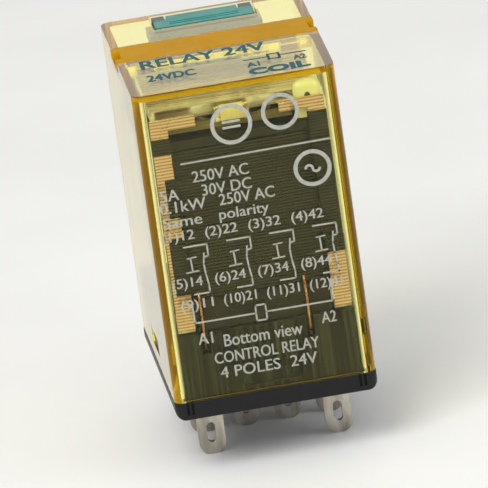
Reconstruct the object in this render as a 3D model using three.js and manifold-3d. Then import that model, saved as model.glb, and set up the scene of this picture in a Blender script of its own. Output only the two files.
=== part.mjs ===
// A four-pole changeover plug-in relay: a black base with fourteen blades, an amber clear cover, and the
// coil, armature, contact card, contacts and indicator inside it. Millimetres, +Z up. The origin is the
// centre of the base's underside, which seats on a socket. The narrow face in front of the coil is at -Y.
import * as THREE from "three";
import { mergeVertices } from "three/addons/utils/BufferGeometryUtils.js";
import Module from "manifold-3d";

const wasm = await Module();
wasm.setup();

// ---- driving dimensions ----
const WIDTH = 21;
const DEPTH = 27.5;
const TOP = 35;
const WALL = 0.9;
const INSET = 0.05; // the cover's faces stand this far inside the base's rim and the marking plate
const FIT = 0.05; // clearance round a piece that sits in a slot or on a face
const CORNER = 1;
const PAST = 1; // how far a cutting tool runs past the face that it cuts
const ARC_STEPS = 4; // straight steps in a quarter turn of a small corner
const COIL_ARC = 5;
const CASE_ARC = 8;
const RIVET_SIDES = 14;
const PIN_SIDES = 16;
const ROUND_SIDES = 24;
const BORE_SIDES = 32;

const FLANGE = 1.8; // height of the base's rim, below the cover
const DECK = 8.6; // top of the base
const BASE_GAP = 0.3; // between the base's upper part and the inside of the cover
const SNAP = { length: 5, height: 4.4, tall: 1.4, reach: 0.7, play: 0.4 }; // lugs that hold the cover
const RECESS = { wide: 3.7, deep: 1.5, up: 0.5 }; // sunk into the underside round each blade
const GROOVE = { x: [8.7, 9.2], wide: 0.25, deep: 0.3, low: 0.5 }; // in the front of the rim
const PANEL = { half: 3.2, low: 2.3, top: 4.5, corner: 0.5, deep: 0.4 }; // sunk into the front wall

const BLADE = { width: 2.8, thick: 0.5, length: 6.4, tip: 1.2 };
const EYE = { width: 0.9, length: 2.1, up: 1.3 }; // the solder eye in a blade, above its tip
const BLADE_X = [-6.6, -2.2, 2.2, 6.6];
const CONTACT_X = [-5.7, -1.9, 1.9, 5.7];
const ROW = { coil: -6.5, common: 0.6, open: 6.2, closed: 10.3 }; // Y of each row of blades
const SHEET = 0.5; // thickness of the terminals' metal

const COMMON_TAB = { y: 4.05, top: 12.2, width: 1.6, low: DECK + 0.15 };
const COIL_LANE = { inner: 7.2, outer: 8, low: DECK + 0.25, tab: 0.4 };
const LANE = { width: 0.7, offset: 0.5, low: DECK + 0.3 }; // the two crossing links of a pole
const PAD = { width: 2.2, low: 11.2, top: 18.4 };
const CONTACT = { radius: 0.85, thick: 0.5, height: 17 };

const SPRING = { width: 2.2, thick: 0.25, y: 8.2, low: 15.6, top: 29.4 };
const MOVING = { reach: 0.75, shank: 0.42 };
const CLOSED_FACE = SPRING.y - MOVING.reach - FIT; // Y of the closed contact's face
const TRAVEL = 0.77; // open gap at the contact
const OPEN_FACE = SPRING.y + MOVING.reach + TRAVEL;

const YOKE = { half: 7.5, front: -11.6, back: 2.6, plate: 1.3, low: 9.6, top: 30.6 };
const CORE = { y: -5.6, radius: 3, poleRadius: 4.2, poleLow: 29.4, top: 30.1 };
const BOBBIN = { halfX: 9.1, halfY: 6.5, tube: 3.9, low: 11, flange: 1, top: 29.2, corner: 1.5 };
const WINDING = { halfX: 8.5, halfY: 6.05, corner: 1.4 };
const TAPE = { thick: 0.3, low: 12.4, top: 27.8 };
const SKIRT = { half: 7, thick: 0.35, low: DECK + 0.1 }; // the bobbin's front wall, before the yoke's foot

const ARMATURE = { half: 8.6, front: -10.3, back: 7.8, low: 30.9, top: 32.1, corner: 0.6 };
const WAIST = { deep: 0.8, y: [2, 3.8] }; // notches in the armature's sides, over the yoke
const CARD = { half: 8.6, front: 5.2, back: 8.9, low: 27, top: 30.6, finLow: 14.5, finThick: 0.5 };
const POST = { pitch: 3.8, side: 1.8, y: 6.5, top: 32.4 };

const PULL = { half: 5, y: [11.4, 12], low: 27.5, top: 30.5, armX: 4.6, armWide: 0.8, armTop: 28.5 };
const RETURN = { low: 15, bend: 24, half: 1.1 };
const FLAG = { inner: 6.1, outer: 9, back: 11.4, thick: 0.45 };

const CHANNEL = { front: -1.3, back: 4.2, depth: 1.1, floor: 0.9 }; // seat of the marking plate
const CLIP = { x: 7.5, width: 1.8, thick: 0.6, length: 0.8, play: 0.3 }; // legs under the marking plate
const PLATE_NOTCH = { deep: 0.7, long: 2.5 };
const WINDOW = { halfX: 5.4, front: 8.3, back: 13.05 }; // opening for the push button and lever
const LEVER = { halfX: 5.2, front: 8.5, neck: 11.2, back: 12.7, low: 34, corner: 0.4 };
const PIN = { y: 12.15, z: 34.3, radius: 0.35 }; // the lever's pins, which turn in the button's ears
const RIB = { y: [9.4, 10], half: 3.6, wide: 0.25, deep: 0.15 };
const BUTTON = { halfX: 5.9, front: 8.95, back: 12.8, low: 32.4, top: 33.4 };
const EAR = { inner: 3.9, front: 11.5, top: 34.9 };
const WEDGE = { half: 3, front: 9.8, tipBack: 10.4, back: 11.1, tip: 29.2, shoulder: 31.2 };

const LEAD = { inner: 7.2, outer: 9, front: -12.5, thick: 0.3, low: 9.2, top: 31.8, arm: 1.2, reach: 4.3 };
const COIL_WIRE = { x: [-6.4, 4.5], radius: 0.13, groove: 0.9, grooveLow: 6.4, grooveDeep: 0.7 };
const PIGTAIL_RADIUS = 0.24;
const BOARD = { x: [-8.6, 5.6], y: [-12.1, -10.6], z: [30, 30.5] };
const RESISTOR = { x: [-2.2, 1.3], y: [-12.1, -11.1], top: 32 };
const LED = { x: [6, 8.8], y: [-12.1, -10.7], low: 29.5, stem: 32.6, corner: 0.6, dome: 0.9 };

const innerX = WIDTH / 2 - WALL;
const innerY = DEPTH / 2 - WALL;
const innerTop = TOP - WALL;
const channelMiddle = (CHANNEL.front + CHANNEL.back) / 2;

// ---- solids ----
function solid(geometry) {
  geometry.deleteAttribute("normal");
  geometry.deleteAttribute("uv");
  const merged = mergeVertices(geometry, 1e-4);
  return new wasm.Manifold(
    new wasm.Mesh({
      numProp: 3,
      vertProperties: merged.getAttribute("position").array,
      triVerts: new Uint32Array(merged.index.array),
    }),
  );
}

function join(pieces) {
  return pieces.reduce((whole, piece) => whole.add(piece));
}

function cut(body, tools) {
  return tools.reduce((rest, tool) => rest.subtract(tool), body);
}

// A block between two values on each axis.
function block(x, y, z) {
  const geometry = new THREE.BoxGeometry(x[1] - x[0], y[1] - y[0], z[1] - z[0]);
  geometry.translate((x[0] + x[1]) / 2, (y[0] + y[1]) / 2, (z[0] + z[1]) / 2);
  return solid(geometry);
}

function around(middle, size) {
  return [middle - size / 2, middle + size / 2];
}

// The same stretch on one side of x = 0 or the other.
function onSide(side, inner, outer) {
  return side > 0 ? [inner, outer] : [-outer, -inner];
}

function roundedRectangle(x, y, radius) {
  const shape = new THREE.Shape();
  shape.absarc(x[1] - radius, y[0] + radius, radius, -Math.PI / 2, 0);
  shape.absarc(x[1] - radius, y[1] - radius, radius, 0, Math.PI / 2);
  shape.absarc(x[0] + radius, y[1] - radius, radius, Math.PI / 2, Math.PI);
  shape.absarc(x[0] + radius, y[0] + radius, radius, Math.PI, 1.5 * Math.PI);
  return shape;
}

function polygon(points) {
  return new THREE.Shape(points.map(([u, v]) => new THREE.Vector2(u, v)));
}

// An outline in X and Y, raised between two heights.
function column(shape, z, arcSteps = ARC_STEPS) {
  const settings = { depth: z[1] - z[0], bevelEnabled: false, curveSegments: arcSteps };
  return solid(new THREE.ExtrudeGeometry(shape, settings).translate(0, 0, z[0]));
}

// An outline in X and Z, with its thickness along Y.
function plateAcrossY(shape, y) {
  const settings = { depth: y[1] - y[0], bevelEnabled: false, curveSegments: ARC_STEPS };
  return solid(new THREE.ExtrudeGeometry(shape, settings).rotateX(Math.PI / 2).translate(0, y[1], 0));
}

// An outline in Y and Z, with its thickness along X.
function plateAcrossX(shape, x) {
  const settings = { depth: x[1] - x[0], bevelEnabled: false, curveSegments: ARC_STEPS };
  const turn = new THREE.Matrix4().makeBasis(
    new THREE.Vector3(0, 1, 0),
    new THREE.Vector3(0, 0, 1),
    new THREE.Vector3(1, 0, 0),
  );
  return solid(new THREE.ExtrudeGeometry(shape, settings).applyMatrix4(turn).translate(x[0], 0, 0));
}

function cylinderAlong(axis, radius, length, middle, sides = ROUND_SIDES) {
  const geometry = new THREE.CylinderGeometry(radius, radius, length, sides);
  if (axis === "x") geometry.rotateZ(Math.PI / 2);
  if (axis === "z") geometry.rotateX(Math.PI / 2);
  return solid(geometry.translate(...middle));
}

function wire(points, radius) {
  const path = new THREE.CatmullRomCurve3(points.map((p) => new THREE.Vector3(...p)));
  const section = new THREE.Shape().absarc(0, 0, radius, 0, 2 * Math.PI);
  return solid(new THREE.ExtrudeGeometry(section, { steps: 12, curveSegments: 3, extrudePath: path }));
}

// ---- materials ----
function material(color, roughness, metalness = 0) {
  return new THREE.MeshStandardMaterial({ color, roughness, metalness });
}

const amberClear = new THREE.MeshStandardMaterial({
  color: 0xd8b34a,
  roughness: 0.1,
  transparent: true,
  opacity: 0.35,
});
const blackPlastic = material(0x1b1b1d, 0.5);
const greyPlastic = material(0x55554f, 0.55);
const tinnedBrass = material(0xb9b2a4, 0.35, 1);
const silver = material(0xdcdcd8, 0.25, 1);
const copper = material(0xb87333, 0.35, 1);
const bronze = material(0xc49a4e, 0.3, 1);
const steel = material(0xb4b4b2, 0.35, 1);
const blackTape = material(0x18181a, 0.6);
const tealPlastic = material(0x0f9a94, 0.4);
const yellowPlastic = material(0xc8920a, 0.45);
const whitePlastic = material(0xe6e2d6, 0.4);
const boardGreen = material(0x2f5b3a, 0.6);
const orangePlastic = material(0xd0703a, 0.5);

// ---- base and cover ----
const blades = [
  ...BLADE_X.flatMap((x) => [ROW.common, ROW.open, ROW.closed].map((y) => [x, y])),
  [BLADE_X[0], ROW.coil],
  [BLADE_X[3], ROW.coil],
];

function baseBlock() {
  const rim = column(roundedRectangle(around(0, WIDTH), around(0, DEPTH), CORNER), [0, FLANGE], CASE_ARC);
  const upperX = around(0, 2 * (innerX - BASE_GAP));
  const upperY = around(0, 2 * (innerY - BASE_GAP));
  const upper = column(roundedRectangle(upperX, upperY, CORNER / 2), [FLANGE / 2, DECK]);
  const side = plateAcrossY(roundedRectangle(around(0, WIDTH), [0, 2 * DECK], CORNER), around(0, DEPTH));
  const barriers = [-POST.pitch, 0, POST.pitch].map((x) =>
    block(around(x, CARD.finThick), [ROW.closed + PAST, upperY[1]], [DECK / 2, PAD.top]),
  );
  const lugs = [-1, 1].map((s) =>
    block(around(s * innerX, 2 * SNAP.reach), around(0, SNAP.length), around(SNAP.height, SNAP.tall)),
  );
  const body = join([rim, upper, ...lugs]).intersect(side);
  const slots = blades.map(([x, y]) =>
    block(around(x, BLADE.width + 2 * FIT), around(y, BLADE.thick + 2 * FIT), [-PAST, DECK + PAST]),
  );
  const recesses = blades.map(([x, y]) =>
    block(around(x, RECESS.wide), around(y, RECESS.deep), [-PAST, RECESS.up]),
  );
  const front = -DEPTH / 2;
  const grooves = [-1, 1].flatMap((s) =>
    GROOVE.x.map((x) =>
      block(around(s * x, GROOVE.wide), [front - PAST, front + GROOVE.deep], [GROOVE.low, FLANGE + PAST]),
    ),
  );
  const panelShape = roundedRectangle([-PANEL.half, PANEL.half], [PANEL.low, PANEL.top], PANEL.corner);
  const panel = plateAcrossY(panelShape, [upperY[0] - PAST, upperY[0] + PANEL.deep]);
  const wireY = [-DEPTH, upperY[0] + COIL_WIRE.grooveDeep];
  const wireGrooves = COIL_WIRE.x.map((x) =>
    block(around(x, COIL_WIRE.groove), wireY, [COIL_WIRE.grooveLow, DECK + PAST]),
  );
  return join([cut(body, [...slots, ...recesses, ...grooves, panel, ...wireGrooves]), ...barriers]);
}

function coverShell() {
  const low = FLANGE + FIT;
  const outline = roundedRectangle(around(0, WIDTH - 2 * INSET), around(0, DEPTH - 2 * INSET), CORNER);
  const outside = column(outline, [low, TOP - INSET], CASE_ARC);
  const inside = column(roundedRectangle(around(0, 2 * innerX), around(0, 2 * innerY), CORNER / 2), [
    low - PAST,
    innerTop,
  ]);
  const floorLow = TOP - CHANNEL.depth - CHANNEL.floor;
  const seatY = [CHANNEL.front - WALL, CHANNEL.back + WALL];
  const seat = block(around(0, 2 * innerX + WALL), seatY, [floorLow, innerTop + WALL / 2]);
  const acrossX = around(0, WIDTH + 2 * PAST);
  const channel = block(acrossX, [CHANNEL.front, CHANNEL.back], [TOP - CHANNEL.depth, TOP + PAST]);
  const window = block(around(0, 2 * WINDOW.halfX), [WINDOW.front, WINDOW.back], [floorLow, TOP + PAST]);
  const legHoles = [-1, 1].map((s) =>
    block(
      around(s * CLIP.x, CLIP.width + CLIP.play),
      around(channelMiddle, CLIP.thick + CLIP.play),
      [floorLow - PAST, TOP],
    ),
  );
  const snapZ = around(SNAP.height, SNAP.tall + SNAP.play);
  const snaps = block(acrossX, around(0, SNAP.length + SNAP.play), snapZ);
  return cut(join([cut(outside, [inside]), seat]), [channel, window, snaps, ...legHoles]);
}

function markingPlate() {
  const y = [CHANNEL.front + FIT, CHANNEL.back - FIT];
  const low = TOP - CHANNEL.depth + FIT;
  const plate = block(around(0, WIDTH), y, [low, TOP]);
  const notchY = around(channelMiddle, PLATE_NOTCH.long);
  const notches = [-1, 1].map((s) =>
    block(around((s * WIDTH) / 2, 2 * PLATE_NOTCH.deep), notchY, [low - PAST, TOP + PAST]),
  );
  const legs = [-1, 1].map((s) =>
    block(around(s * CLIP.x, CLIP.width), around(channelMiddle, CLIP.thick), [low - CLIP.length, low + FIT]),
  );
  return join([cut(plate, notches), ...legs]);
}

// ---- terminals ----
// A blade on x = 0 whose front and back are about its row, from its tip to the top of the base.
function blade(rowY) {
  const shape = roundedRectangle(around(0, BLADE.width), [-BLADE.length, DECK + BLADE.tip], BLADE.tip);
  const whole = plateAcrossY(shape, around(rowY, BLADE.thick));
  const low = -BLADE.length + EYE.up;
  const slot = roundedRectangle(around(0, EYE.width), [low, low + EYE.length], 0.49 * EYE.width);
  const hole = plateAcrossY(slot, around(rowY, BLADE.thick + 2 * PAST));
  const above = block(around(0, WIDTH), around(rowY, 2 * BLADE.width), [DECK, 2 * DECK]);
  return cut(whole, [hole, above]);
}

// A fixed terminal: its blade, a link across the top of the base in its own lane, and an upright that ends
// in a pad for the contact. The lanes of the poles on one side of x = 0 mirror those on the other.
function fixedTerminal(pole, rowY, padY, laneSide) {
  const side = Math.sign(BLADE_X[pole]);
  const lane = (BLADE_X[pole] + CONTACT_X[pole]) / 2 + side * laneSide * LANE.offset;
  const laneX = around(lane, LANE.width);
  const link = [LANE.low, LANE.low + SHEET];
  const bladeY = around(rowY, SHEET);
  const uprightY = around(padY, SHEET);
  const across = [Math.min(bladeY[0], uprightY[0]), Math.max(bladeY[1], uprightY[1])];
  return join([
    blade(rowY).translate([BLADE_X[pole], 0, 0]),
    block(laneX, bladeY, [DECK - PAST, link[1]]),
    block(laneX, across, link),
    block(laneX, uprightY, [link[0], PAD.low + PAST]),
    block(around(CONTACT_X[pole], PAD.width), uprightY, [PAD.low, PAD.top]),
  ]);
}

function commonTerminal(pole) {
  const x = around((BLADE_X[pole] + CONTACT_X[pole]) / 2, COMMON_TAB.width);
  const tabY = around(COMMON_TAB.y, SHEET);
  return join([
    blade(ROW.common).translate([BLADE_X[pole], 0, 0]),
    block(x, around(ROW.common, SHEET), [DECK - PAST, COMMON_TAB.low + SHEET]),
    block(x, [ROW.common - SHEET / 2, tabY[1]], [COMMON_TAB.low, COMMON_TAB.low + SHEET]),
    block(x, tabY, [COMMON_TAB.low, COMMON_TAB.top]),
  ]);
}

function coilTerminal(side) {
  const laneX = onSide(side, COIL_LANE.inner, COIL_LANE.outer);
  const tabX = onSide(side, LEAD.inner, LEAD.outer);
  const link = [COIL_LANE.low, COIL_LANE.low + SHEET];
  const front = LEAD.front + LEAD.thick + FIT;
  return join([
    blade(ROW.coil).translate([side * BLADE_X[3], 0, 0]),
    block(laneX, around(ROW.coil, SHEET), [DECK - PAST, link[1]]),
    block(laneX, [front, ROW.coil + SHEET / 2], link),
    block(tabX, [front, front + COIL_LANE.tab], [link[0], BOBBIN.low - 4 * FIT]),
  ]);
}

function contactDisc() {
  const points = [
    [0, 0],
    [CONTACT.radius, 0],
    [CONTACT.radius, CONTACT.thick * 0.6],
    [CONTACT.radius * 0.75, CONTACT.thick],
    [0, CONTACT.thick],
  ];
  const profile = points.map(([r, h]) => new THREE.Vector2(r, h));
  return solid(new THREE.LatheGeometry(profile, RIVET_SIDES));
}

// ---- coil and magnet ----
function coilSection(grow) {
  const x = around(0, 2 * (WINDING.halfX + grow));
  const y = around(CORE.y, 2 * (WINDING.halfY + grow));
  return roundedRectangle(x, y, WINDING.corner + grow);
}

function coilBobbin() {
  const outline = () =>
    roundedRectangle(around(0, 2 * BOBBIN.halfX), around(CORE.y, 2 * BOBBIN.halfY), BOBBIN.corner);
  const height = BOBBIN.top - BOBBIN.low;
  const middle = [0, CORE.y, BOBBIN.low + height / 2];
  const flanges = [
    column(outline(), [BOBBIN.low, BOBBIN.low + BOBBIN.flange]),
    column(outline(), [BOBBIN.top - BOBBIN.flange, BOBBIN.top]),
  ];
  const tube = cylinderAlong("z", BOBBIN.tube, height, middle);
  const front = CORE.y - BOBBIN.halfY;
  const skirtZ = [SKIRT.low, BOBBIN.low + BOBBIN.flange / 2];
  const skirt = block(around(0, 2 * SKIRT.half), [front, front + SKIRT.thick], skirtZ);
  const bore = cylinderAlong("z", CORE.radius + FIT, height + 2 * PAST, middle);
  return cut(join([tube, skirt, ...flanges]), [bore]);
}

function coilWinding() {
  const z = [BOBBIN.low + BOBBIN.flange + 2 * FIT, BOBBIN.top - BOBBIN.flange - 2 * FIT];
  const bore = cylinderAlong("z", BOBBIN.tube + FIT, 2 * TOP, [0, CORE.y, 0], BORE_SIDES);
  return cut(column(coilSection(0), z, COIL_ARC), [bore]);
}

function coilTape() {
  const outside = column(coilSection(FIT + TAPE.thick), [TAPE.low, TAPE.top], COIL_ARC);
  return cut(outside, [column(coilSection(FIT), [TAPE.low - PAST, TAPE.top + PAST], COIL_ARC)]);
}

function core() {
  const points = [
    [0, YOKE.low],
    [CORE.radius, YOKE.low],
    [CORE.radius, CORE.poleLow],
    [CORE.poleRadius, CORE.poleLow],
    [CORE.poleRadius, CORE.top],
    [0, CORE.top],
  ];
  const profile = points.map(([r, z]) => new THREE.Vector2(r, z));
  return solid(new THREE.LatheGeometry(profile, ROUND_SIDES).rotateX(Math.PI / 2).translate(0, CORE.y, 0));
}

function yoke() {
  const x = around(0, 2 * YOKE.half);
  const foot = block(x, [YOKE.front, YOKE.back], [YOKE.low, YOKE.low + YOKE.plate]);
  const back = block(x, [YOKE.back - YOKE.plate, YOKE.back], [YOKE.low, YOKE.top]);
  const rivet = cylinderAlong("z", CORE.radius + FIT, 4 * YOKE.plate, [0, CORE.y, YOKE.low], BORE_SIDES);
  return cut(join([foot, back]), [rivet]);
}

// ---- moving armature ----
const postX = [-2, -1, 0, 1, 2].map((n) => n * POST.pitch);

function armature() {
  const length = [ARMATURE.front, ARMATURE.back];
  const outline = roundedRectangle(around(0, 2 * ARMATURE.half), length, ARMATURE.corner);
  const plate = column(outline, [ARMATURE.low, ARMATURE.top]);
  const through = [ARMATURE.low - PAST, ARMATURE.top + PAST];
  const side = POST.side + 2 * FIT;
  const holes = postX.map((x) => block(around(x, side), around(POST.y, side), through));
  const waists = [-1, 1].map((s) => block(around(s * ARMATURE.half, 2 * WAIST.deep), WAIST.y, through));
  return cut(plate, [...holes, ...waists]);
}

function contactCard() {
  const length = [CARD.front, CARD.back];
  const bar = block(around(0, 2 * CARD.half), length, [CARD.low, CARD.top]);
  const postZ = [CARD.top - PAST, POST.top];
  const posts = postX.map((x) => block(around(x, POST.side), around(POST.y, POST.side), postZ));
  const fins = postX.map((x) => block(around(x, CARD.finThick), length, [CARD.finLow, CARD.low + PAST]));
  const arms = [-1, 1].map((s) =>
    block(around(s * PULL.armX, PULL.armWide), [CARD.back - PAST, PULL.y[1]], [PULL.low, PULL.armTop]),
  );
  const wall = block(around(0, 2 * PULL.half), PULL.y, [PULL.low, PULL.top]);
  const pockets = CONTACT_X.map((x) =>
    block(around(x, SPRING.width + 2 * FIT), around(SPRING.y, SPRING.thick + 2 * FIT), [
      CARD.low - PAST,
      SPRING.top + FIT,
    ]),
  );
  return cut(join([bar, ...posts, ...fins, ...arms, wall]), pockets);
}

function movingSpring() {
  const shape = roundedRectangle(around(0, SPRING.width), [SPRING.low, SPRING.top], 0.5);
  const leaf = plateAcrossY(shape, around(SPRING.y, SPRING.thick));
  const middle = [0, SPRING.y, CONTACT.height];
  return cut(leaf, [cylinderAlong("y", MOVING.shank + FIT, 2 * PAST, middle, PIN_SIDES)]);
}

// A rivet whose two heads are the contact faces on either side of the leaf.
function movingContact() {
  const inner = SPRING.thick / 2 + FIT;
  const edge = 0.8;
  const points = [
    [0, -MOVING.reach],
    [CONTACT.radius * edge, -MOVING.reach],
    [CONTACT.radius, -MOVING.reach * edge],
    [CONTACT.radius, -inner],
    [MOVING.shank, -inner],
    [MOVING.shank, inner],
    [CONTACT.radius, inner],
    [CONTACT.radius, MOVING.reach * edge],
    [CONTACT.radius * edge, MOVING.reach],
    [0, MOVING.reach],
  ];
  const profile = points.map(([r, y]) => new THREE.Vector2(r, y));
  return solid(new THREE.LatheGeometry(profile, RIVET_SIDES));
}

// A leaf on the back of the yoke that leans out to the card.
function returnSpring() {
  const near = YOKE.back + 2 * FIT;
  const far = near + SPRING.thick;
  const shape = polygon([
    [near, RETURN.low],
    [far, RETURN.low],
    [far, RETURN.bend],
    [CARD.front - 2 * FIT, RETURN.bend + 4.3],
    [CARD.front - 6 * FIT, RETURN.bend + 4.5],
    [near, RETURN.bend + 2 * FIT],
  ]);
  return plateAcrossX(shape, around(0, 2 * RETURN.half));
}

function indicatorFlag() {
  const z = [CARD.top + FIT, CARD.top + FIT + FLAG.thick];
  const front = ARMATURE.back + 2 * FIT;
  const bar = block([-FLAG.outer, FLAG.outer], [front, CARD.back - FIT], z);
  const tabs = [-1, 1].map((s) => block(onSide(s, FLAG.inner, FLAG.outer), [front, FLAG.back], z));
  return join([bar, ...tabs]);
}

// ---- push button and lever ----
function testButton() {
  const plate = block(around(0, 2 * BUTTON.halfX), [BUTTON.front, BUTTON.back], [BUTTON.low, BUTTON.top]);
  const inside = (BUTTON.low + BUTTON.top) / 2;
  const ears = [-1, 1].map((s) =>
    block(onSide(s, EAR.inner, LEVER.halfX), [EAR.front, BUTTON.back], [inside, EAR.top]),
  );
  const wedgeShape = polygon([
    [WEDGE.front, WEDGE.tip],
    [WEDGE.tipBack, WEDGE.tip],
    [WEDGE.back, WEDGE.shoulder],
    [WEDGE.back, inside],
    [WEDGE.front, inside],
  ]);
  const wedge = plateAcrossX(wedgeShape, around(0, 2 * WEDGE.half));
  const bore = cylinderAlong("x", PIN.radius + FIT, WIDTH, [0, PIN.y, PIN.z], PIN_SIDES);
  return cut(join([plate, wedge, ...ears]), [bore]);
}

function latchLever() {
  const halfNeck = EAR.inner - 4 * FIT;
  const outline = roundedRectangle(around(0, 2 * LEVER.halfX), [LEVER.front, LEVER.neck], LEVER.corner);
  const pad = column(outline, [LEVER.low, TOP]);
  const neck = block(around(0, 2 * halfNeck), [LEVER.neck - PAST, LEVER.back], [LEVER.low, TOP - 2 * FIT]);
  const ribZ = [TOP - RIB.deep, TOP + PAST];
  const ribs = RIB.y.map((y) => block(around(0, 2 * RIB.half), around(y, RIB.wide), ribZ));
  const pins = cylinderAlong("x", PIN.radius, 2 * LEVER.halfX - 8 * FIT, [0, PIN.y, PIN.z], PIN_SIDES);
  return join([cut(join([pad, neck]), ribs), pins]);
}

// ---- indicator and wiring ----
function indicatorLed() {
  const [halfX, halfY] = [LED.x, LED.y].map(([low, high]) => (high - low) / 2);
  const stem = column(roundedRectangle(LED.x, LED.y, LED.corner), [LED.low, LED.stem]);
  const dome = new THREE.SphereGeometry(1, RIVET_SIDES, RIVET_SIDES / 2).scale(halfX, halfY, LED.dome);
  return join([stem, solid(dome.translate(LED.x[0] + halfX, LED.y[0] + halfY, LED.stem))]);
}

function ledLead(side) {
  const y = [LEAD.front, LEAD.front + LEAD.thick];
  const strip = block(onSide(side, LEAD.inner, LEAD.outer), y, [LEAD.low, LEAD.top]);
  const arm = block(onSide(side, LEAD.reach, LEAD.outer), y, [LEAD.top - LEAD.arm, LEAD.top]);
  return join([strip, arm]);
}

// The flexible wire from a common terminal to the back of its moving spring.
function pigtail() {
  return wire(
    [
      [0, COMMON_TAB.y + 0.6, 10.6],
      [0, COMMON_TAB.y + 0.62, 12.6],
      [0, COMMON_TAB.y + 0.7, 16],
      [0, COMMON_TAB.y + 0.9, 20],
      [0, SPRING.y - 1.6, 23.6],
      [0, SPRING.y - 0.5, 26],
    ],
    PIGTAIL_RADIUS,
  );
}

// An end of the winding, drawn down over the front of the bobbin into its groove in the base.
function coilLead(x) {
  return wire(
    [
      [x, -12.1, 12.9],
      [x, -12.4, 11.6],
      [x, -12.45, 9.6],
      [x, -12.3, 8],
      [x, -12.2, 6.6],
    ],
    COIL_WIRE.radius,
  );
}

// ---- assembly ----
function named(name, body, look, place = [0, 0, 0]) {
  const { numProp, numVert, vertProperties, triVerts } = body.getMesh();
  const positions = new Float32Array(numVert * 3);
  for (let i = 0; i < numVert; i++) {
    positions.set(vertProperties.subarray(i * numProp, i * numProp + 3), i * 3);
  }
  const geometry = new THREE.BufferGeometry();
  geometry.setAttribute("position", new THREE.BufferAttribute(positions, 3));
  geometry.setIndex(new THREE.BufferAttribute(triVerts, 1));
  geometry.computeVertexNormals();
  const mesh = new THREE.Mesh(geometry, look);
  mesh.name = name;
  mesh.position.set(...place);
  return mesh;
}

const relay = new THREE.Group();
const fixedParts = new THREE.Group();
const armatureParts = new THREE.Group();
const buttonParts = new THREE.Group();
const leverParts = new THREE.Group();
const markingParts = new THREE.Group();
relay.add(fixedParts, armatureParts, buttonParts, leverParts, markingParts);

fixedParts.add(
  named("base_block", baseBlock(), blackPlastic),
  named("cover", coverShell(), amberClear),
  named("coil_terminal_a1", coilTerminal(-1), tinnedBrass),
  named("coil_terminal_a2", coilTerminal(1), tinnedBrass),
  named("coil_bobbin", coilBobbin(), blackPlastic),
  named("coil_winding", coilWinding(), copper),
  named("coil_tape", coilTape(), blackTape),
  named("core", core(), steel),
  named("yoke", yoke(), steel),
  named("return_spring", returnSpring(), bronze),
  named("led_board", block(BOARD.x, BOARD.y, BOARD.z), boardGreen),
  named("indicator_led", indicatorLed(), whitePlastic),
  named("series_resistor", block(RESISTOR.x, RESISTOR.y, [BOARD.z[1] + FIT, RESISTOR.top]), whitePlastic),
  named("led_lead_left", ledLead(-1), bronze),
  named("led_lead_right", ledLead(1), bronze),
  named("coil_lead_left", coilLead(COIL_WIRE.x[0]), copper),
  named("coil_lead_right", coilLead(COIL_WIRE.x[1]), copper),
);

CONTACT_X.forEach((x, pole) => {
  const label = pole + 1;
  const closedPadY = CLOSED_FACE - CONTACT.thick - FIT - SHEET / 2;
  const openPadY = OPEN_FACE + CONTACT.thick + FIT + SHEET / 2;
  const openContact = named("no_contact_" + label, contactDisc(), silver, [
    x,
    OPEN_FACE + CONTACT.thick,
    CONTACT.height,
  ]);
  openContact.rotation.x = Math.PI;
  fixedParts.add(
    named("nc_terminal_" + label, fixedTerminal(pole, ROW.closed, closedPadY, -1), tinnedBrass),
    named("no_terminal_" + label, fixedTerminal(pole, ROW.open, openPadY, 1), tinnedBrass),
    named("com_terminal_" + label, commonTerminal(pole), tinnedBrass),
    named("nc_contact_" + label, contactDisc(), silver, [x, CLOSED_FACE - CONTACT.thick, CONTACT.height]),
    openContact,
    named("pigtail_" + label, pigtail(), copper, [x, 0, 0]),
  );
  armatureParts.add(
    named("moving_spring_" + label, movingSpring(), bronze, [x, 0, 0]),
    named("moving_contact_" + label, movingContact(), silver, [x, SPRING.y, CONTACT.height]),
  );
});

armatureParts.add(
  named("armature", armature(), steel),
  named("contact_card", contactCard(), greyPlastic),
  named("indicator_flag", indicatorFlag(), orangePlastic),
);
buttonParts.add(named("test_button", testButton(), blackPlastic));
leverParts.add(named("latch_lever", latchLever(), tealPlastic));
markingParts.add(named("marking_plate", markingPlate(), yellowPlastic));

export default relay;
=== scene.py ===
"""Looks of a four-pole plug-in relay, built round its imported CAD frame."""

import math

import bmesh
import bpy
from mathutils import Matrix, Vector


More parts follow.
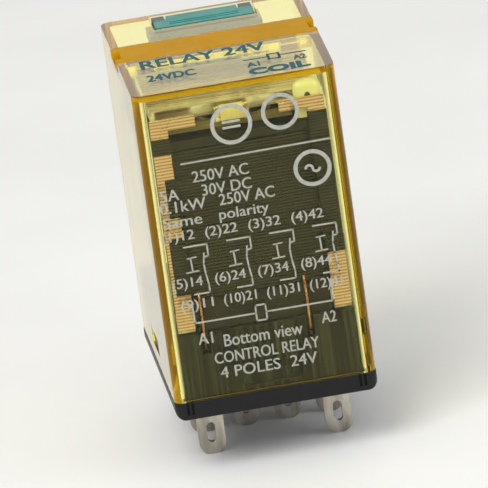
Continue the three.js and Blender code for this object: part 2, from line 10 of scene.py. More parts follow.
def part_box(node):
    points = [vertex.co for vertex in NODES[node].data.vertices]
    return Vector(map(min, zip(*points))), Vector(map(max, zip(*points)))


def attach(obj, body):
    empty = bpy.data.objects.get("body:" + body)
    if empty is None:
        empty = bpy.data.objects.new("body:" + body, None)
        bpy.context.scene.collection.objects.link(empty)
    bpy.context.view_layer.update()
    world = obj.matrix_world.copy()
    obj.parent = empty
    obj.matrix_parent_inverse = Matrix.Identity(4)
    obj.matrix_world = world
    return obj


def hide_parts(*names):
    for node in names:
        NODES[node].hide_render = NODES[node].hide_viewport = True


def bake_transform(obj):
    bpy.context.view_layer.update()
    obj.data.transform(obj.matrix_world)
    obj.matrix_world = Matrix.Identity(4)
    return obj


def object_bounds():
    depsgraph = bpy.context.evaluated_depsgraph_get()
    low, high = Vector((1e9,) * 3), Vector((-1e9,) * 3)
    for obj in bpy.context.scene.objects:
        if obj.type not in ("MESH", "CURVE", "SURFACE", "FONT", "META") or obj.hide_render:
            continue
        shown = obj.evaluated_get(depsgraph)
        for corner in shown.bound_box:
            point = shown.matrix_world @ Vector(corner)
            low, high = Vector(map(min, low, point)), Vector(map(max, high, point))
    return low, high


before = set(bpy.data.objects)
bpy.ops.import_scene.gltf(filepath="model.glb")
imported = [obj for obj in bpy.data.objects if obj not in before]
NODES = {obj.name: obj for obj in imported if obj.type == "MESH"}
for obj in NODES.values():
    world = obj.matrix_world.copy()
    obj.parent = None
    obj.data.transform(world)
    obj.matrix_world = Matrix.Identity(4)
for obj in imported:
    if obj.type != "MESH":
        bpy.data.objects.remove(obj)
CAD_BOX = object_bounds()
SCENE = bpy.context.scene
MM = 0.001

BODY = "relay_body"
POLES = 4
TURN_PITCH = 0.33 * MM  # of the ridges that the coil's turns raise in its tape
INK = 0.02 * MM  # how thick printing is
INK_GAP = 0.003 * MM  # between printing and the face it is on
FRONT_BOLD = 0.04  # shift in millimetres of the second print of the front lettering
TOP_BOLD = 0.14  # the same for the top lettering
MOULD_GRAIN = 9000  # noise scale of a spark-eroded mould
EDGE_TURN = math.radians(35)  # edges that turn more than this are rounded


# ---- material tools ----
def new_material(name):
    """An empty material and its node tree."""
    mat = bpy.data.materials.new(name)
    mat.use_nodes = True
    tree = mat.node_tree
    tree.nodes.clear()
    return mat, tree


def add(tree, kind, **values):
    """A new node, with the settings that are given by name."""
    node = tree.nodes.new(kind)
    for key, value in values.items():
        setattr(node, key, value)
    return node


def principled(name, colour, roughness, metallic=0.0, **sockets):
    """A material with one Principled shader, and its tree and shader."""
    mat, tree = new_material(name)
    shader = add(tree, "ShaderNodeBsdfPrincipled")
    shader.inputs["Base Color"].default_value = (*colour, 1)
    shader.inputs["Roughness"].default_value = roughness
    shader.inputs["Metallic"].default_value = metallic
    for key, value in sockets.items():
        shader.inputs[key.replace("_", " ")].default_value = value
    out = add(tree, "ShaderNodeOutputMaterial")
    tree.links.new(shader.outputs[0], out.inputs["Surface"])
    mat.diffuse_color = (*colour, 1)
    return mat, tree, shader


def mixed(tree, factor, first, second):
    """Two shaders mixed by a value, 0 for the first and 1 for the second."""
    node = add(tree, "ShaderNodeMixShader")
    tree.links.new(factor, node.inputs[0])
    tree.links.new(first, node.inputs[1])
    tree.links.new(second, node.inputs[2])
    return node.outputs[0]


def above(tree, source, limit):
    """1 where a value is more than a limit, and 0 elsewhere."""
    node = add(tree, "ShaderNodeMath", operation="GREATER_THAN")
    node.inputs[1].default_value = limit
    tree.links.new(source, node.inputs[0])
    return node.outputs[0]


def object_place(tree, scale):
    """Object coordinates, stretched."""
    place = add(tree, "ShaderNodeTexCoord")
    mapping = add(tree, "ShaderNodeMapping")
    mapping.inputs["Scale"].default_value = scale
    tree.links.new(place.outputs["Object"], mapping.inputs["Vector"])
    return mapping.outputs["Vector"]


def noise(tree, scale, detail, stretch=(1, 1, 1)):
    """Cloudy noise in object coordinates, as a value."""
    texture = add(tree, "ShaderNodeTexNoise")
    texture.inputs["Scale"].default_value = scale
    texture.inputs["Detail"].default_value = detail
    tree.links.new(object_place(tree, stretch), texture.inputs["Vector"])
    return texture.outputs["Fac"]


def ramp(tree, source, low, high, places=(0.35, 0.65)):
    """A value spread over two colours or two greys."""
    node = add(tree, "ShaderNodeValToRGB")
    for element, colour, place in zip(node.color_ramp.elements, (low, high), places):
        element.color = (*colour, 1) if hasattr(colour, "__len__") else (colour,) * 3 + (1,)
        element.position = place
    tree.links.new(source, node.inputs["Fac"])
    return node.outputs["Color"]


def bump(tree, shader, source, strength, depth):
    """Relief from a value. Its depth is in metres."""
    node = add(tree, "ShaderNodeBump")
    node.inputs["Strength"].default_value = strength
    node.inputs["Distance"].default_value = depth
    tree.links.new(source, node.inputs["Height"])
    tree.links.new(node.outputs["Normal"], shader.inputs["Normal"])


def stripes(tree, pitch):
    """Level stripes of a given pitch in metres, as a value."""
    wave = add(tree, "ShaderNodeTexWave", wave_type="BANDS", bands_direction="Z")
    wave.inputs["Scale"].default_value = math.pi / (10 * pitch)
    wave.inputs["Distortion"].default_value = 0.6
    wave.inputs["Detail"].default_value = 2
    wave.inputs["Detail Scale"].default_value = 0.4
    tree.links.new(object_place(tree, (1, 1, 1)), wave.inputs["Vector"])
    return wave.outputs["Fac"]


def mould_surface(tree, shader, smoothest, roughest, grain=MOULD_GRAIN):
    """Uneven gloss and a fine grain."""
    gloss = ramp(tree, noise(tree, 900, 2), smoothest, roughest)
    tree.links.new(gloss, shader.inputs["Roughness"])
    bump(tree, shader, noise(tree, grain, 2), 0.25, 0.02 * MM)


def moulded(name, colour, roughness, fleck, grain=MOULD_GRAIN, **sockets):
    """Moulded plastic: slight cloudiness over a mould's surface."""
    mat, tree, shader = principled(name, colour, roughness, **sockets)
    cloud = noise(tree, 260, 4)
    darker = tuple(c * (1 - fleck) for c in colour)
    lighter = tuple(min(1, c * (1 + fleck)) for c in colour)
    tree.links.new(ramp(tree, cloud, darker, lighter), shader.inputs["Base Color"])
    mould_surface(tree, shader, roughness * 0.85, roughness * 1.15, grain)
    return mat


def black_base():
    """Black plastic, plain on the flange and streaked upright on the block that the cover slides over. The
    pale streaks are partly real marks and partly painted highlights.
    """
    plain = (0.011, 0.011, 0.012)
    dark_streak = (0.012, 0.013, 0.012)
    pale_streak_and_highlight = (0.09, 0.095, 0.085)
    upright = (2000, 2000, 40)
    mat, tree, shader = principled("black_base", plain, 0.42)
    shader.inputs["Specular IOR Level"].default_value = 0.2
    height = add(tree, "ShaderNodeSeparateXYZ")
    tree.links.new(object_place(tree, (1, 1, 1)), height.inputs[0])
    covered = above(tree, height.outputs["Z"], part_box("cover")[0].z)
    # painted highlights: the pale upright streaks stand partly for highlights on the glossy block and partly
    # for real streaks
    streaks = ramp(tree, noise(tree, 1, 4, upright), dark_streak, pale_streak_and_highlight, (0.45, 0.85))
    colour = add(tree, "ShaderNodeMixRGB")
    colour.inputs["Color1"].default_value = (*plain, 1)
    tree.links.new(covered, colour.inputs["Fac"])
    tree.links.new(streaks, colour.inputs["Color2"])
    tree.links.new(colour.outputs[0], shader.inputs["Base Color"])
    mould_surface(tree, shader, 0.36, 0.48)
    return mat


def brushed(name, dark, light, roughness, stretch):
    """Rolled or brushed metal, streaked along the axis that is stretched least."""
    mat, tree, shader = principled(name, light, roughness, 1.0)
    streaks = noise(tree, 1, 5, stretch)
    tree.links.new(ramp(tree, streaks, dark, light, (0.3, 0.7)), shader.inputs["Base Color"])
    fine = tuple(1.7 * s for s in stretch)
    rough = ramp(tree, noise(tree, 1, 4, fine), roughness * 0.7, roughness * 1.35)
    tree.links.new(rough, shader.inputs["Roughness"])
    bump(tree, shader, streaks, 0.35, 0.03 * MM)
    return mat


def amber_clear():
    """Clear amber polycarbonate. Its colour comes from the depth of plastic that light crosses, so faces seen
    through are pale and walls seen along their length are deep amber. Light that is caught between the faces
    of a wall comes out as a matt amber glow, and light that casts shadows passes straight through."""
    mat, tree, shader = principled("amber_polycarbonate", (0.99, 0.97, 0.86), 0.04)
    shader.inputs["Transmission Weight"].default_value = 1
    shader.inputs["IOR"].default_value = 1.45
    shader.inputs["Specular Tint"].default_value = (0.36, 0.36, 0.34, 1)
    handled = ramp(tree, noise(tree, 1, 6, (420, 420, 160)), 0.02, 0.09, (0.45, 0.75))
    tree.links.new(handled, shader.inputs["Roughness"])
    bump(tree, shader, noise(tree, 190, 2), 0.06, 0.1 * MM)
    free_bounces = 2
    path = add(tree, "ShaderNodeLightPath")
    caught = above(tree, path.outputs["Glossy Depth"], free_bounces)
    glow = add(tree, "ShaderNodeBsdfDiffuse")
    glow.inputs["Color"].default_value = (0.85, 0.72, 0.04, 1)
    through = add(tree, "ShaderNodeBsdfTransparent")
    through.inputs["Color"].default_value = (0.95, 0.91, 0.74, 1)
    seen = mixed(tree, caught, shader.outputs[0], glow.outputs[0])
    surface = mixed(tree, path.outputs["Is Shadow Ray"], seen, through.outputs[0])
    out = next(n for n in tree.nodes if n.type == "OUTPUT_MATERIAL")
    tree.links.new(surface, out.inputs["Surface"])
    depth = add(tree, "ShaderNodeVolumeAbsorption")
    depth.inputs["Color"].default_value = (0.94, 0.915, 0.05, 1)
    depth.inputs["Density"].default_value = 400
    tree.links.new(depth.outputs[0], out.inputs["Volume"])
    return mat


def insulating_tape():
    """Dark glossy tape pulled over the turns of wire, paler in a fine stripe along each turn."""
    mat, tree, shader = principled("insulating_tape", (0.02, 0.02, 0.016), 0.42)
    shader.inputs["Specular IOR Level"].default_value = 0.3
    turns = stripes(tree, TURN_PITCH)
    pale_turn_stripes = ramp(tree, turns, (0.006, 0.006, 0.005), (0.034, 0.034, 0.028), (0.2, 0.9))
    tree.links.new(pale_turn_stripes, shader.inputs["Base Color"])
    gloss = ramp(tree, noise(tree, 1, 2, (300, 300, 900)), 0.32, 0.55)
    tree.links.new(gloss, shader.inputs["Roughness"])
    return mat


def wound_copper(name, dark, light, pitch):
    """Bare copper crossed by fine level turns."""
    mat, tree, shader = principled(name, light, 0.34, 1.0)
    turns = stripes(tree, pitch)
    tree.links.new(ramp(tree, turns, dark, light, (0.15, 0.6)), shader.inputs["Base Color"])
    gloss = ramp(tree, noise(tree, 1500, 3), 0.24, 0.44)
    tree.links.new(gloss, shader.inputs["Roughness"])
    bump(tree, shader, turns, 0.5, 0.04 * MM)
    return mat


def printed(name, colour):
    """A thin coat of pad-printed ink, a little patchy."""
    mat, tree, shader = principled(name, colour, 0.55)
    shader.inputs["Specular IOR Level"].default_value = 0.15
    patchy = noise(tree, 2600, 2)
    dim = tuple(c * 0.8 for c in colour)
    tree.links.new(ramp(tree, patchy, dim, colour, (0.3, 0.55)), shader.inputs["Base Color"])
    return mat


MATERIALS = {
    "base": black_base(),
    "cover": amber_clear(),
    "blade": brushed("tinned_blade", (0.3, 0.27, 0.22), (0.6, 0.56, 0.48), 0.34, (900, 900, 160)),
    "steel": brushed("rolled_steel", (0.5, 0.47, 0.4), (0.88, 0.85, 0.76), 0.3, (110, 1500, 1500)),
    "bronze": brushed("spring_bronze", (0.5, 0.28, 0.1), (0.85, 0.55, 0.28), 0.32, (1500, 1500, 160)),
    "copper": brushed("bright_copper", (0.5, 0.22, 0.1), (0.82, 0.46, 0.27), 0.3, (1800, 1800, 1800)),
    "lead": wound_copper("lead_copper", (0.46, 0.3, 0.22), (0.82, 0.6, 0.48), TURN_PITCH),
    "silver": brushed("contact_silver", (0.7, 0.7, 0.68), (0.92, 0.92, 0.9), 0.22, (2500, 2500, 2500)),
    "solder": brushed("bright_solder", (0.62, 0.55, 0.36), (0.9, 0.84, 0.62), 0.2, (1600, 1600, 1600)),
    "bobbin": moulded("black_bobbin", (0.015, 0.015, 0.013), 0.4, 0.2, Specular_IOR_Level=0.3),
    "tape": insulating_tape(),
    "card": moulded("dark_card", (0.06, 0.052, 0.035), 0.5, 0.15),
    "teal": moulded("teal_lever", (0.0, 0.2, 0.175), 0.38, 0.08, Specular_IOR_Level=0.3),
    "yellow": moulded("yellow_plate", (0.47, 0.235, 0.001), 0.5, 0.05, Specular_IOR_Level=0.04),
    "board": moulded("circuit_board", (0.1, 0.085, 0.035), 0.45, 0.3, 4000),
    "lens": moulded("milky_lens", (0.7, 0.68, 0.52), 0.2, 0.05, Subsurface_Weight=0.3),
    "die": moulded("dark_die", (0.02, 0.018, 0.012), 0.3, 0.2),
    "chip": moulded("ceramic_chip", (0.62, 0.57, 0.38), 0.4, 0.08),
    "flag": brushed("copper_flag", (0.42, 0.2, 0.12), (0.74, 0.42, 0.28), 0.38, (140, 1500, 1500)),
    "button": moulded("dark_button", (0.02, 0.03, 0.03), 0.4, 0.15),
    "ink_pale": printed("pale_ink", (0.4, 0.4, 0.35)),
    "ink_teal": printed("teal_ink", (0.004, 0.085, 0.105)),
}


# ---- CAD nodes that keep their own shape ----
def finish_node(name, material, edge):
    """Gives a CAD node its material, and rounds its edges by modifiers, which leave its mesh as packed. Edge
    is the width of the rounding in millimetres."""
    obj = NODES[name]
    obj.data.materials.clear()
    obj.data.materials.append(MATERIALS[material])
    weld = obj.modifiers.new("weld", "WELD")
    weld.merge_threshold = 0.0005 * MM
    flat = obj.modifiers.new("flat_faces", "DECIMATE")
    flat.decimate_type = "DISSOLVE"
    flat.angle_limit = math.radians(1)
    if edge:
        bevel = obj.modifiers.new("edges", "BEVEL")
        bevel.width = edge * MM
        bevel.segments = 2
        bevel.limit_method = "ANGLE"
        bevel.angle_limit = EDGE_TURN
        bevel.harden_normals = False
    for face in obj.data.polygons:
        face.use_smooth = True
    smooth = obj.modifiers.new("shading", "WEIGHTED_NORMAL")
    smooth.keep_sharp = False
    smooth.weight = 60


def finish_all_nodes():
    looks = {
        "base_block": ("base", 0.1),
        "cover": ("cover", 0.14),
        "marking_plate": ("yellow", 0.12),
        "latch_lever": ("teal", 0.08),
        "test_button": ("button", 0.08),
        "indicator_flag": ("flag", 0.06),
        "contact_card": ("card", 0.06),
        "armature": ("steel", 0.06),
        "yoke": ("steel", 0.08),
        "core": ("steel", 0.06),
        "coil_bobbin": ("bobbin", 0.08),
        "return_spring": ("bronze", 0),
        "led_board": ("board", 0.03),
        "series_resistor": ("chip", 0.06),
        "led_lead_left": ("lead", 0.04),
        "led_lead_right": ("lead", 0.04),
        "coil_lead_left": ("copper", 0),
        "coil_lead_right": ("copper", 0),
        "coil_terminal_a1": ("blade", 0.07),
        "coil_terminal_a2": ("blade", 0.07),
    }
    for pole in range(1, POLES + 1):
        looks[f"nc_terminal_{pole}"] = ("blade", 0.07)
        looks[f"no_terminal_{pole}"] = ("blade", 0.07)
        looks[f"com_terminal_{pole}"] = ("blade", 0.07)
        looks[f"nc_contact_{pole}"] = ("silver", 0.05)
        looks[f"no_contact_{pole}"] = ("silver", 0.05)
        looks[f"moving_contact_{pole}"] = ("silver", 0.05)
        looks[f"moving_spring_{pole}"] = ("bronze", 0.03)
    for name, (material, edge) in looks.items():
        finish_node(name, material, edge)


# ---- new pieces ----
def piece(name, mesh, material):
    """A new object with one material, which rides on the relay's body."""
    obj = bpy.data.objects.new(name, mesh)
    SCENE.collection.objects.link(obj)
    obj.data.materials.clear()
    obj.data.materials.append(MATERIALS[material])
    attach(obj, BODY)
    return obj


def skinned(name, rings, material, hollow=False, sharp=50):
    """A closed piece through rings of points. A hollow one joins its last ring to its first, and a solid one
    is capped at both ends. Edges that turn more than sharp degrees are shaded as edges."""
    mesh = bmesh.new()
    rows = [[mesh.verts.new(point) for point in ring] for ring in rings]
    pairs = list(zip(rows, rows[1:]))
    if hollow:
        pairs.append((rows[-1], rows[0]))
    else:
        mesh.faces.new(rows[0])
        mesh.faces.new(rows[-1][::-1])
    count = len(rows[0])
    for near, far in pairs:
        for i in range(count):
            j = (i + 1) % count
            mesh.faces.new((near[i], near[j], far[j], far[i]))
    bmesh.ops.recalc_face_normals(mesh, faces=mesh.faces)
    data = bpy.data.meshes.new(name)
    mesh.to_mesh(data)
    mesh.free()
    data.shade_smooth()
    data.set_sharp_from_angle(angle=math.radians(sharp))
    return piece(name, data, material)


def rounded_ring(centre, half_x, half_y, corner, z):
    """Points round a level rectangle with round corners."""
    steps = 6
    points = []
    for quarter, (side_x, side_y) in enumerate(((1, 1), (-1, 1), (-1, -1), (1, -1))):
        for i in range(steps + 1):
            turn = math.pi / 2 * (quarter + i / steps)
            x = centre.x + side_x * (half_x - corner) + corner * math.cos(turn)
            y = centre.y + side_y * (half_y - corner) + corner * math.sin(turn)
            points.append((x, y, z))
    return points


def ridged(name, low, high, corner, pitch, depth, material, wall=0):
    """A body wound with level turns, which stand as round ridges. With a wall it is a hollow band."""
    centre = (low + high) / 2
    half = (high - low) / 2
    turns = max(1, round((high.z - low.z) / pitch))
    steps = 6
    rings = []
    for i in range(turns * steps + 1):
        z = low.z + (high.z - low.z) * i / (turns * steps)
        sink = depth * (1 - abs(math.sin(math.pi * i / steps)))
        rings.append(rounded_ring(centre, half.x - sink, half.y - sink, corner, z))
    if wall:
        for z in (high.z, low.z):
            rings.append(rounded_ring(centre, half.x - wall, half.y - wall, corner / 2, z))
    return skinned(name, rings, material, bool(wall), sharp=180)


def coil_wrapping():
    """The winding, and the tape round it, on which the turns beneath stand out as fine ridges."""
    low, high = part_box("coil_tape")
    lap = Vector((0, 0, 0.3 * MM))
    tape_wall = 0.25 * MM
    winding_wall = 1.7 * MM
    tape = ridged("coil_wrap", low - lap, high + lap, 1.7 * MM, TURN_PITCH, 0.05 * MM, "tape", tape_wall)
    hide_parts("coil_tape")
    low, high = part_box("coil_winding")
    turns = ridged("coil_turns", low, high, 1.4 * MM, 0.26 * MM, 0.09 * MM, "copper", winding_wall)
    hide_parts("coil_winding")


def lead_sleeves():
    """Black insulation over the flat leads to the indicator, which leaves lengths of their copper bare. Each
    sleeve has a lead, how much of the lead's outer edge stays bare, and the heights that it runs between, in
    millimetres."""
    sleeves = {
        "lead_sleeve_left_high": ("led_lead_left", 0, 28.1, 29.8),
        "lead_sleeve_left_middle": ("led_lead_left", 0.75, 21.3, 25.4),
        "lead_sleeve_left_low": ("led_lead_left", 0.3, 13.0, 19.1),
        "lead_sleeve_right": ("led_lead_right", 0, 15.0, 30.2),
    }
    width = 1.8 * MM
    over = 0.12 * MM
    for name, (lead, bare, z_low, z_high) in sleeves.items():
        low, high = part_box(lead)
        outer = over if not bare else -bare * MM
        if lead.endswith("left"):
            x_low, x_high = low.x - outer, low.x + width + over
        else:
            x_low, x_high = high.x - width - over, high.x + outer
        near = Vector((x_low, low.y - over, z_low * MM))
        far = Vector((x_high, high.y + over / 2, z_high * MM))
        ridged(name, near, far, 0.15 * MM, TURN_PITCH, 0.03 * MM, "tape")


def turned(name, profile, place, material, stretch):
    """A piece turned about a vertical axis from (radius, height) pairs in millimetres, from the bottom up,
    and stretched along x and y."""
    sides = 24
    rings = []
    for radius, height in profile:
        ring = []
        for i in range(sides):
            turn = 2 * math.pi * i / sides
            x = place.x + radius * MM * stretch[0] * math.cos(turn)
            y = place.y + radius * MM * stretch[1] * math.sin(turn)
            ring.append((x, y, place.z + height * MM))
        rings.append(ring)
    return skinned(name, rings, material)


def lamp():
    """The indicator's milky lens with a domed top, and the dark die in it."""
    low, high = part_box("indicator_led")
    centre = (low + high) / 2
    half = (high - low) / 2
    dome = 0.9 * MM
    corner = 0.6 * MM
    walls = (low.z, low.z + 0.3 * MM, high.z - dome)
    rings = [rounded_ring(centre, half.x, half.y, corner, z) for z in walls]
    for i in range(1, 9):
        turn = math.pi / 2 * i / 8.4  # stops short of the peak, which stays a small flat
        scale = math.cos(turn)
        z = high.z - dome + dome * math.sin(turn)
        rings.append(rounded_ring(centre, half.x * scale, half.y * scale, corner * scale, z))
    lens = skinned("led_lens", rings, "lens", sharp=70)
    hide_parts("indicator_led")

    die_sides = 20
    z = high.z - 1.7 * MM
    turns = [2 * math.pi * i / die_sides for i in range(die_sides)]
    rings = []
    for radius, depth in ((0.1, 0), (0.26, 0.02), (0.3, 0.06), (0.26, 0.1), (0.12, 0.13)):
        wide = radius * MM
        tall = 1.3 * radius * MM
        y = low.y + (0.06 - depth) * MM
        rings.append([(centre.x + wide * math.cos(t), y, z + tall * math.sin(t)) for t in turns])
    skinned("led_die", rings, "die")


def resistor_caps():
    """The resistor's two soldered ends, a little larger than its body."""
    chip_low, chip_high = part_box("series_resistor")
    skin = Vector((0.04, 0.04, 0.03)) * MM
    cap = 0.55 * MM
    edge = 0.08 * MM
    for side, x_low in (("left", chip_low.x), ("right", chip_high.x - cap)):
        near = Vector((x_low, chip_low.y, chip_low.z)) - skin
        far = Vector((x_low + cap, chip_high.y, chip_high.z)) + skin
        near.z = chip_low.z
        centre = (near + far) / 2
        half = (far - near) / 2
        levels = ((near.z, 0), (far.z - edge, 0), (far.z - 0.3 * edge, 0.3 * edge), (far.z, edge))
        rings = [rounded_ring(centre, half.x - cut, half.y - cut, 0.1 * MM, z) for z, cut in levels]
        skinned(f"resistor_cap_{side}", rings, "solder")


def solder_joints():
    """The two solder joints on the indicator's board."""
    low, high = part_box("led_board")
    profile = [(0.62, 0), (0.5, 0.06), (0.34, 0.16), (0.26, 0.28), (0.2, 0.36), (0.08, 0.4)]
    for side, x in (("left", -5.0), ("right", 5.0)):
        place = Vector((x * MM, (low.y + high.y) / 2, high.z))
        turned(f"solder_joint_{side}", profile, place, "solder", (1, 0.9))


def wire_curve(name, x_middle, y_start, y_end, z_low, z_high):
    """Twisted strands that climb from z_low to z_high, and lean from y_start to y_end mostly near the top."""
    strands = 5
    lay = 0.13 * MM  # from the middle of the wire to the middle of a strand
    steps = 110
    twists = 9
    curve = bpy.data.curves.new(name, "CURVE")
    curve.dimensions = "3D"
    curve.bevel_depth = 0.085 * MM
    curve.bevel_resolution = 2
    curve.use_fill_caps = True
    for strand in range(strands):
        spline = curve.splines.new("POLY")
        spline.points.add(steps)
        for i in range(steps + 1):
            t = i / steps
            turn = 2 * math.pi * (strand / strands + twists * t)
            x = x_middle + lay * math.cos(turn)
            y = y_start + (y_end - y_start) * t ** 4 + lay * math.sin(turn)
            spline.points[i].co = (x, y, z_low + (z_high - z_low) * t, 1)
    return curve


def pigtails():
    """Stranded copper wires from beside the common terminals to the moving springs."""
    for pole in range(1, POLES + 1):
        node = f"pigtail_{pole}"
        low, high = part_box(node)
        x_middle = (low.x + high.x) / 2
        y_start = low.y + 0.24 * MM
        y_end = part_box(f"moving_spring_{pole}")[0].y - 0.12 * MM
        curve = wire_curve(node, x_middle, y_start, y_end, low.z, high.z)
        holder = bpy.data.objects.new(node, curve)
        SCENE.collection.objects.link(holder)
        bpy.context.view_layer.update()
        graph = bpy.context.evaluated_depsgraph_get()
        mesh = bpy.data.meshes.new_from_object(holder.evaluated_get(graph))
        bpy.data.objects.remove(holder)
        mesh.shade_smooth()
        wire = bpy.data.objects.new(f"stranded_wire_{pole}", mesh)
        SCENE.collection.objects.link(wire)
        wire.data.materials.clear()
        wire.data.materials.append(MATERIALS["copper"])
        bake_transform(wire)
        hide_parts(node)


class Printing:
    """Flat printing gathered into one mesh. It is drawn in a plane, u to the right and v up, in
    millimetres."""

    def __init__(self, to_world):
        self.mesh = bmesh.new()
        self.to_world = to_world

    def plate(self, corners):
        """A flat shape as thick as the ink."""
        low = [self.mesh.verts.new(self.to_world(u, v, INK_GAP)) for u, v in corners]
        high = [self.mesh.verts.new(self.to_world(u, v, INK_GAP + INK)) for u, v in corners]
        self.mesh.faces.new(low[::-1])
        self.mesh.faces.new(high)
        count = len(corners)
        for i in range(count):
            j = (i + 1) % count
            self.mesh.faces.new((low[i], low[j], high[j], high[i]))

    def line(self, points, width):
        """Strokes between points. Each is half its width too long at both ends, so that corners close."""
        for (u0, v0), (u1, v1) in zip(points, points[1:]):
            along = Vector((u1 - u0, v1 - v0)).normalized() * (width / 2)
            side = Vector((-along.y, along.x))
            a = Vector((u0, v0)) - along
            b = Vector((u1, v1)) + along
            self.plate([tuple(a - side), tuple(b - side), tuple(b + side), tuple(a + side)])

    def arc(self, u, v, radius, width, start, end, steps):
        """A ring or part of one, between two angles in degrees."""
        turns = [math.radians(start + (end - start) * i / steps) for i in range(steps + 1)]
        inner, outer = radius - width / 2, radius + width / 2
        for t0, t1 in zip(turns, turns[1:]):
            self.plate([
                (u + inner * math.cos(t0), v + inner * math.sin(t0)),
                (u + outer * math.cos(t0), v + outer * math.sin(t0)),
                (u + outer * math.cos(t1), v + outer * math.sin(t1)),
                (u + inner * math.cos(t1), v + inner * math.sin(t1)),
            ])

    def text(self, words, u, v, height, width, weight=0.0, lift=0.0):
        """A line of lettering from its lower left corner, made to fit a height and a width. Weight swells
        the strokes, and lift thickens the ink."""
        curve = bpy.data.curves.new("lettering", "FONT")
        curve.body = words
        curve.size = 1
        curve.offset = weight
        curve.extrude = 0.5
        curve.resolution_u = 3
        holder = bpy.data.objects.new("lettering", curve)
        SCENE.collection.objects.link(holder)
        bpy.context.view_layer.update()
        graph = bpy.context.evaluated_depsgraph_get()
        drawn = bpy.data.meshes.new_from_object(holder.evaluated_get(graph))
        low = [min(p.co[i] for p in drawn.vertices) for i in range(2)]
        high = [max(p.co[i] for p in drawn.vertices) for i in range(2)]
        for p in drawn.vertices:
            x = u + (p.co.x - low[0]) / (high[0] - low[0]) * width
            y = v + (p.co.y - low[1]) / (high[1] - low[1]) * height
            p.co = self.to_world(x, y, INK_GAP + (INK + lift if p.co.z > 0 else 0))
        self.mesh.from_mesh(drawn)
        bpy.data.objects.remove(holder)
        bpy.data.meshes.remove(drawn)
        bpy.data.curves.remove(curve)

    def bold_text(self, words, u, v, height, width, shift):
        """Lettering printed twice, the second time a little to the right and in thicker ink. Its strokes are
        broad, and the eye of a 4 stays open."""
        self.text(words, u, v, height, width)
        self.text(words, u + shift, v, height, width, lift=0.2 * INK)

    def box(self, left, right, middle, half, width):
        """The outline of a box, from left to right, and half its height above and below the middle."""
        low, high = middle - half, middle + half
        self.line([(left, low), (right, low), (right, high), (left, high), (left, low)], width)

    def finish(self, name, material):
        bmesh.ops.recalc_face_normals(self.mesh, faces=self.mesh.faces)
        mesh = bpy.data.meshes.new(name)
        self.mesh.to_mesh(mesh)
        self.mesh.free()
        piece(name, mesh, material)


def contact_symbol(ink, right):
    """One changeover contact of the wiring diagram, which ends at u = right."""
    stroke, thin = 0.17, 0.15
    bar, drop, foot = 18.35, 17.1, 13.2
    ink.line([(right - 2.36, bar), (right, bar), (right, drop), (right - 0.42, drop - 0.1)], stroke)
    ink.line([(right - 0.42, 17.4), (right - 0.58, 16.3), (right - 0.5, 15.2), (right - 0.33, 14.0)], stroke)
    ink.line([(right - 0.33, 14.0), (right - 0.33, foot), (right - 1.9, foot)], stroke)
    ink.line([(right - 2.15, 17.1), (right - 1.3, 17.15)], thin)
    ink.line([(right - 1.85, 17.1), (right - 1.78, 15.65)], stroke)
    ink.line([(right - 2.4, 15.6), (right - 1.2, 15.65)], thin)


def front_printing():
    """The ratings and wiring diagram on the cover's narrow front face. Positions are in millimetres, from the
    middle of the face and up from the base."""
    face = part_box("cover")[0].y
    ink = Printing(lambda u, v, out: Vector((u * MM, face - out, v * MM)))
    stroke = 0.17
    ring_width = 0.42
    sign_width = 0.26
    ink.line([(-6.4, 27.15), (8.9, 27.3)], stroke)
    for u, v, radius in ((6.8, 24.5, 1.75), (-0.8, 30.5, 1.95), (4.3, 31.0, 1.75)):
        ink.arc(u, v, radius, ring_width, 0, 360, 36)
    ink.arc(6.45, 24.45, 0.36, sign_width, 0, 180, 14)
    ink.arc(7.17, 24.45, 0.36, sign_width, 180, 360, 14)
    for v in (30.2, 30.8):
        ink.line([(-1.6, v), (0.0, v)], sign_width)
    captions = (
        ("250V AC", -5.5, 25.0, 1.2, 5.8),
        ("30V DC", -4.7, 23.45, 1.2, 5.1),
        ("5A", -9.0, 23.45, 1.2, 1.9),
        ("0.1kW", -9.2, 22.15, 1.2, 4.7),
        ("250V AC", -3.1, 22.15, 1.2, 5.7),
        ("Same", -9.1, 20.6, 1.15, 4.0),
        ("polarity", -3.3, 20.3, 1.45, 5.1),
        ("A1", -7.2, 7.8, 1.2, 1.5),
        ("A2", 5.6, 7.9, 1.2, 1.5),
        ("Bottom view", -4.6, 7.15, 1.3, 8.1),
        ("CONTROL RELAY", -5.8, 5.45, 1.2, 10.8),
        ("4 POLES  24V", -5.4, 3.85, 1.2, 10.0),
    )
    for words, u, v, height, width in captions:
        ink.bold_text(words, u, v, height, width, FRONT_BOLD)
    first, pitch = -4.97, 4.45
    number = 1.35
    for pole in range(POLES):
        right = first + pole * pitch
        contact_symbol(ink, right)
        ink.bold_text(f"({pole + 1}){pole + 1}2", right - 4.45, 18.8, number, 3.3, FRONT_BOLD)
        ink.bold_text(f"({pole + 5}){pole + 1}4", right - 4.1, 13.75, number, 3.15, FRONT_BOLD)
        ink.bold_text(f"({pole + 9}){pole + 1}1", right - 3.5, 11.35, number, 3.35, FRONT_BOLD)
    line, box_half, box_left, box_right = 10.15, 0.82, -0.95, 0.1
    ink.line([(-7.3, 12.4), (-7.3, line), (box_left, line)], stroke)
    ink.line([(box_right, line), (7.1, line), (7.1, 12.5)], stroke)
    ink.box(box_left, box_right, line, box_half, 0.18)
    ink.finish("front_printing", "ink_pale")


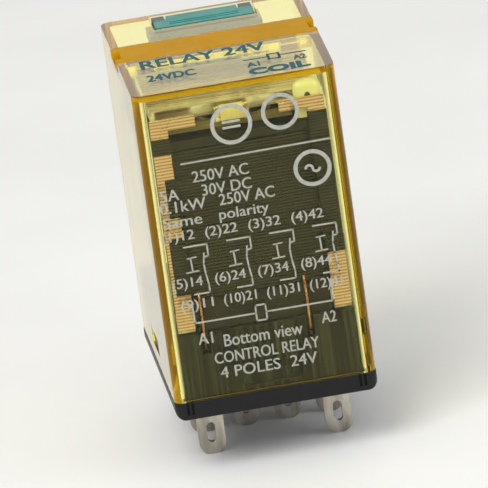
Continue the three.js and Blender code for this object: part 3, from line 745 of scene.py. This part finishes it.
def top_printing():
    """The lettering and coil symbol on the top of the cover, in millimetres about the middle of the face."""
    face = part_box("cover")[1].z
    ink = Printing(lambda u, v, out: Vector((u * MM, v * MM, face + out)))
    ink.bold_text("RELAY 24V", -8.3, -4.7, 2.75, 12.8, TOP_BOLD)
    ink.bold_text("24VDC", -8.2, -9.3, 2.1, 4.9, TOP_BOLD)
    stroke = 0.26
    line, box_half, box_left, box_right = -7.4, 0.85, 4.45, 5.55
    ink.line([(2.0, line), (box_left, line)], stroke)
    ink.line([(box_right, line), (8.2, line)], stroke)
    ink.box(box_left, box_right, line, box_half, stroke)
    ink.text("A1", 2.0, -9.9, 1.55, 1.35, 0.03)
    ink.text("A2", 6.8, -9.8, 1.55, 1.35, 0.03)
    ink.text("COIL", 1.9, -12.75, 2.2, 6.3, 0.05)
    ink.finish("top_printing", "ink_teal")


# ---- stage, lights and camera ----
def stage():
    """A pale floor at the tips of the blades."""
    low = CAD_BOX[0].z
    half = 2.0
    corners = [(x * half, y * half, low) for x, y in ((-1, -1), (1, -1), (1, 1), (-1, 1))]
    mesh = bpy.data.meshes.new("floor")
    mesh.from_pydata(corners, [], [(0, 1, 2, 3)])
    floor = bpy.data.objects.new("floor", mesh)
    SCENE.collection.objects.link(floor)
    mat, tree, shader = principled("pale_floor", (0.86, 0.86, 0.85), 0.7)
    cloud = noise(tree, 30, 3)
    tree.links.new(ramp(tree, cloud, (0.84, 0.84, 0.83), (0.88, 0.88, 0.87)), shader.inputs["Base Color"])
    floor.data.materials.append(mat)


def soft_light(name, place, target, size, power, colour):
    """A rectangular lamp that faces its target. Its power is in watts."""
    data = bpy.data.lights.new(name, "AREA")
    data.shape = "RECTANGLE"
    data.size, data.size_y = size
    data.energy = power
    data.color = colour
    light = bpy.data.objects.new(name, data)
    SCENE.collection.objects.link(light)
    light.location = place
    light.rotation_euler = (Vector(target) - Vector(place)).to_track_quat("-Z", "Y").to_euler()


def lighting():
    """A pale sky, a key light at the front left, a fill at the front right and a broad light behind."""
    world = bpy.data.worlds.new("studio")
    world.use_nodes = True
    tree = world.node_tree
    sky = tree.nodes["Background"]
    sky.inputs["Strength"].default_value = 0.57
    place = add(tree, "ShaderNodeTexCoord")
    height = add(tree, "ShaderNodeSeparateXYZ")
    tree.links.new(place.outputs["Generated"], height.inputs[0])
    pale = ramp(tree, height.outputs["Z"], (0.6, 0.61, 0.63), (0.97, 0.98, 1.0), (0.0, 0.75))
    tree.links.new(pale, sky.inputs["Color"])
    SCENE.world = world
    aim = (0, 0, 0.015)
    soft_light("key", (-0.16, -0.22, 0.3), aim, (0.22, 0.22), 1.08, (1, 0.98, 0.94))
    soft_light("fill", (0.3, -0.2, 0.16), aim, (0.3, 0.2), 0.45, (0.94, 0.97, 1))
    soft_light("back", (0.02, 0.38, 0.23), aim, (0.4, 0.3), 0.34, (1, 0.95, 0.82))


def place_camera(azimuth, elevation, roll, distance, frame_width, target):
    """A camera that looks at target from an azimuth and an elevation, leaned over by roll, all in degrees.
    The picture is frame_width metres wide at the target."""
    data = bpy.data.cameras.new("camera")
    camera = bpy.data.objects.new("camera", data)
    SCENE.collection.objects.link(camera)
    a, e = math.radians(azimuth), math.radians(elevation)
    back = Vector((math.sin(a) * math.cos(e), -math.cos(a) * math.cos(e), math.sin(e)))
    camera.location = Vector(target) + back * distance
    look = (-back).to_track_quat("-Z", "Y").to_matrix().to_4x4()
    lean = Matrix.Rotation(math.radians(roll), 4, "Z")
    camera.rotation_euler = (look @ lean).to_euler()
    data.sensor_width = 36
    data.lens = data.sensor_width * distance / frame_width
    data.clip_start = 0.01
    data.clip_end = 20
    SCENE.camera = camera


finish_all_nodes()
coil_wrapping()
lead_sleeves()
lamp()
resistor_caps()
solder_joints()
pigtails()
front_printing()
top_printing()
stage()
lighting()
place_camera(azimuth=-5, elevation=18, roll=-8, distance=1.2, frame_width=0.0502, target=(0, 0, 0.0132))
SCENE.view_settings.view_transform = "Standard"
